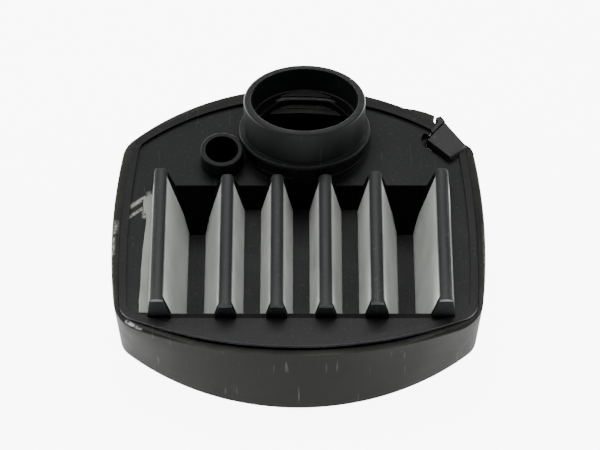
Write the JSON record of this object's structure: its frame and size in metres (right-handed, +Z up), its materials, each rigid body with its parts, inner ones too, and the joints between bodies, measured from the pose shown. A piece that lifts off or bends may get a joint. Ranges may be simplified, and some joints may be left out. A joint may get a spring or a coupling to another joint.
{
  "type": "air filter housing",
  "caption": "Two-half air filter housing with a smooth lower tray, a pleated screen between raised ribs, a leaning intake neck, a vent socket and a corner clip.",
  "frame": {"origin": "centre of the bounding box in plan, on the flat underside of the tray", "axes": "+X to the clip side, +Y towards the intake neck, +Z up out of the pleats"},
  "size_m": [0.121, 0.1084, 0.0538],
  "materials": {
    "black_plastic": "moulded glass-filled nylon, satin, worn edges",
    "rail_plastic": "moulded nylon, satin, slightly greyer than the frame",
    "smoky_plastic": "moulded nylon, fine texture, smoky green-grey",
    "clip_plastic": "moulded acetal, satin",
    "screen_cloth": "fine woven nylon screen, off-white, faintly soiled",
    "seal_rubber": "soft foam rubber cord"
  },
  "bodies": {
    "lower_half": {"lower_tray": "smoky_plastic", "perimeter_seal": "seal_rubber"},
    "upper_half": {"intake_neck": "black_plastic", "pleat_back_wall": "black_plastic", "pleat_front_wall": "black_plastic", "rib_cap_1": "rail_plastic", "rib_cap_2": "rail_plastic", "rib_cap_3": "rail_plastic", "rib_cap_4": "rail_plastic", "rib_cap_5": "rail_plastic", "rib_cap_6": "rail_plastic", "screen_flap": "screen_cloth", "screen_panel_1_left": "screen_cloth", "screen_panel_1_right": "screen_cloth", "screen_panel_2_left": "screen_cloth", "screen_panel_2_right": "screen_cloth", "screen_panel_3_left": "screen_cloth", "screen_panel_3_right": "screen_cloth", "screen_panel_4_left": "screen_cloth", "screen_panel_4_right": "screen_cloth", "screen_panel_5_left": "screen_cloth", "screen_panel_5_right": "screen_cloth", "screen_panel_6_left": "screen_cloth", "screen_panel_6_right": "screen_cloth", "upper_frame": "black_plastic", "valley_strip_1": "black_plastic", "valley_strip_2": "black_plastic", "valley_strip_3": "black_plastic", "valley_strip_4": "black_plastic", "valley_strip_5": "black_plastic", "vent_socket": "black_plastic"},
    "clip": {"snap_clip": "clip_plastic"}
  },
  "joints": [
    {"name": "half_lift", "type": "slide", "parent": "lower_half", "child": "upper_half", "axis": [0, 0, 1], "range_m": [0, 0.045]},
    {"name": "clip_hinge", "type": "hinge", "parent": "lower_half", "child": "clip", "pos_m": [0.04973, 0.02878, 0.0138], "axis": [-0.682, 0.7314, 0], "range_deg": [0, 14], "stiffness_Nm_per_rad": 0.5, "springref_deg": -2.86}
  ]
}
